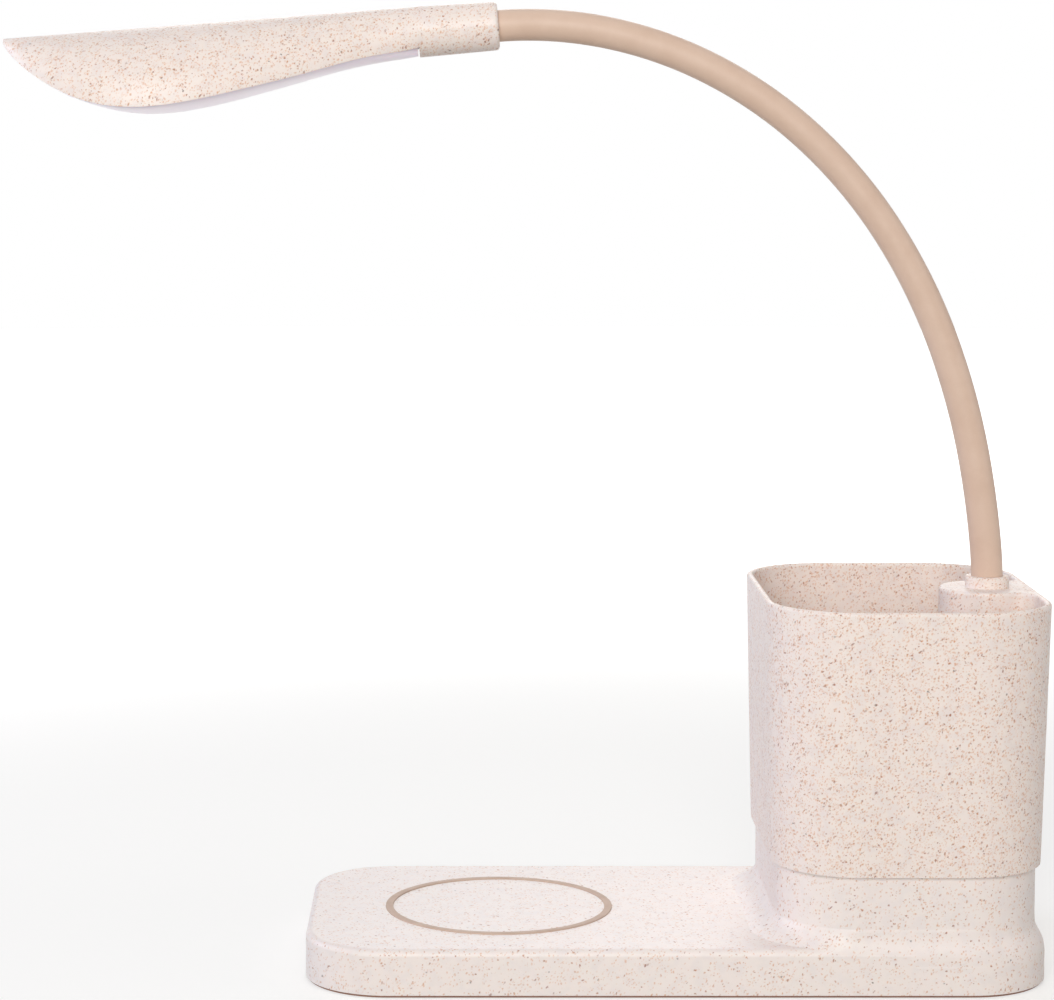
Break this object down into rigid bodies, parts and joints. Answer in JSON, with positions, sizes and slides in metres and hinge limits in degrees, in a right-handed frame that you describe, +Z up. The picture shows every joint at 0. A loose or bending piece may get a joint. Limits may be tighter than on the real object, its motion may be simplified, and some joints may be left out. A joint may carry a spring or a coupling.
{
  "type": "desk lamp with pen holder",
  "caption": "Desk lamp with a flat charging base, a pen cup on a short tower, a bendable gooseneck rising from the cup's edge and a leaf-shaped LED head.",
  "frame": {"origin": "middle of the base pad's underside, on the table", "axes": "+X along the base towards the cup and the neck, +Y to the rear where the inlet and button are, +Z up"},
  "size_m": [0.2686, 0.0938, 0.25],
  "materials": {
    "speckled_base": "fine matt moulded plastic with sparse brown straw flecks",
    "speckled_shell": "fine matt moulded plastic with dense orange-brown straw flecks",
    "ring_silicone": "matt silicone",
    "pad_rubber": "matt brown rubber sheet",
    "cover_plastic": "plain matt plastic",
    "screw_steel": "plated steel",
    "ballast_steel": "rolled steel plate",
    "coil_copper": "enamelled copper wire",
    "ferrite": "sintered ferrite sheet",
    "board_green": "solder mask over glass fibre",
    "led_board_aluminium": "white solder mask over aluminium",
    "component_black": "moulded epoxy",
    "port_metal": "plated steel shell",
    "button_plastic": "matt tan plastic",
    "neck_silicone": "satin tan silicone sleeve",
    "neck_steel": "wound steel gooseneck",
    "ferrule_brass": "turned brass",
    "lead_insulation": "wire insulation",
    "socket_plastic": "nylon wire socket",
    "diffuser_opal": "milky opal plastic",
    "carrier_white": "white reflector plastic",
    "led_phosphor": "yellow phosphor over LED chips"
  },
  "bodies": {
    "base": {"lower_housing": "speckled_base", "anti_slip_ring": "ring_silicone", "bottom_cover": "cover_plastic", "base_pad": "pad_rubber", "cover_screws": "screw_steel", "ballast_plate": "ballast_steel", "charging_coil": "coil_copper", "coil_ferrite": "ferrite", "charging_board": "board_green", "charging_board_screws": "screw_steel", "main_board": "board_green", "board_screws": "screw_steel", "board_parts": "component_black", "usb_c_port": "port_metal", "tact_switch": "component_black", "pen_cup": "speckled_shell", "cup_screws": "screw_steel", "neck_ferrule_lower": "ferrule_brass", "neck_nut_lower": "ferrule_brass", "lamp_leads": "lead_insulation", "charging_leads": "lead_insulation", "coil_tails": "coil_copper", "neck_sleeve_0": "neck_silicone", "neck_core_0": "neck_steel"},
    "button": {"power_button": "button_plastic", "switch_plunger": "component_black"},
    "neck_1": {"neck_sleeve_1": "neck_silicone", "neck_core_1": "neck_steel"},
    "neck_2": {"neck_sleeve_2": "neck_silicone", "neck_core_2": "neck_steel"},
    "neck_3": {"neck_sleeve_3": "neck_silicone", "neck_core_3": "neck_steel"},
    "neck_4": {"neck_sleeve_4": "neck_silicone", "neck_core_4": "neck_steel"},
    "neck_5": {"neck_sleeve_5": "neck_silicone", "neck_core_5": "neck_steel"},
    "neck_6": {"neck_sleeve_6": "neck_silicone", "neck_core_6": "neck_steel"},
    "head": {"neck_sleeve_7": "neck_silicone", "neck_core_7": "neck_steel", "neck_ferrule_upper": "ferrule_brass", "neck_nut_upper": "ferrule_brass", "led_leads": "lead_insulation", "led_socket": "socket_plastic", "head_cover": "speckled_shell", "diffuser": "diffuser_opal", "led_carrier": "carrier_white", "led_board": "led_board_aluminium", "led_chips": "led_phosphor", "carrier_screws": "screw_steel"}
  },
  "joints": [
    {"name": "neck_side_lean", "type": "hinge", "parent": "base", "child": "neck_1", "pos_m": [0.08279, 0, 0.10858], "axis": [1, 0, 0], "range_deg": [-30, 30]},
    {"name": "neck_lower_bend", "type": "hinge", "parent": "neck_1", "child": "neck_2", "pos_m": [0.07969, 0, 0.13035], "axis": [0, -1, 0], "range_deg": [-12, 8]},
    {"name": "neck_lower_bend_2", "type": "hinge", "parent": "neck_2", "child": "neck_3", "pos_m": [0.07115, 0, 0.16115], "axis": [0, -1, 0], "range_deg": [-12, 8]},
    {"name": "neck_lower_bend_3", "type": "hinge", "parent": "neck_3", "child": "neck_4", "pos_m": [0.0569, 0, 0.18974], "axis": [0, -1, 0], "range_deg": [-12, 8]},
    {"name": "neck_upper_bend", "type": "hinge", "parent": "neck_4", "child": "neck_5", "pos_m": [0.03647, 0, 0.21426], "axis": [0, -1, 0], "range_deg": [-28, 16]},
    {"name": "neck_upper_bend_2", "type": "hinge", "parent": "neck_5", "child": "neck_6", "pos_m": [0.01035, 0, 0.23258], "axis": [0, -1, 0], "range_deg": [-28, 16]},
    {"name": "head_tilt", "type": "hinge", "parent": "neck_6", "child": "head", "pos_m": [-0.01988, 0, 0.24269], "axis": [0, -1, 0], "range_deg": [-30, 25]},
    {"name": "power_button_press", "type": "slide", "parent": "base", "child": "button", "axis": [0, -1, 0], "range_m": [0, 0.0005], "stiffness_N_per_m": 800, "springref_m": -0.0005}
  ],
  "couplings": [
    {"joint": "neck_lower_bend_2", "follows": "neck_lower_bend", "ratio": 1},
    {"joint": "neck_lower_bend_3", "follows": "neck_lower_bend", "ratio": 1},
    {"joint": "neck_upper_bend_2", "follows": "neck_upper_bend", "ratio": 1}
  ]
}
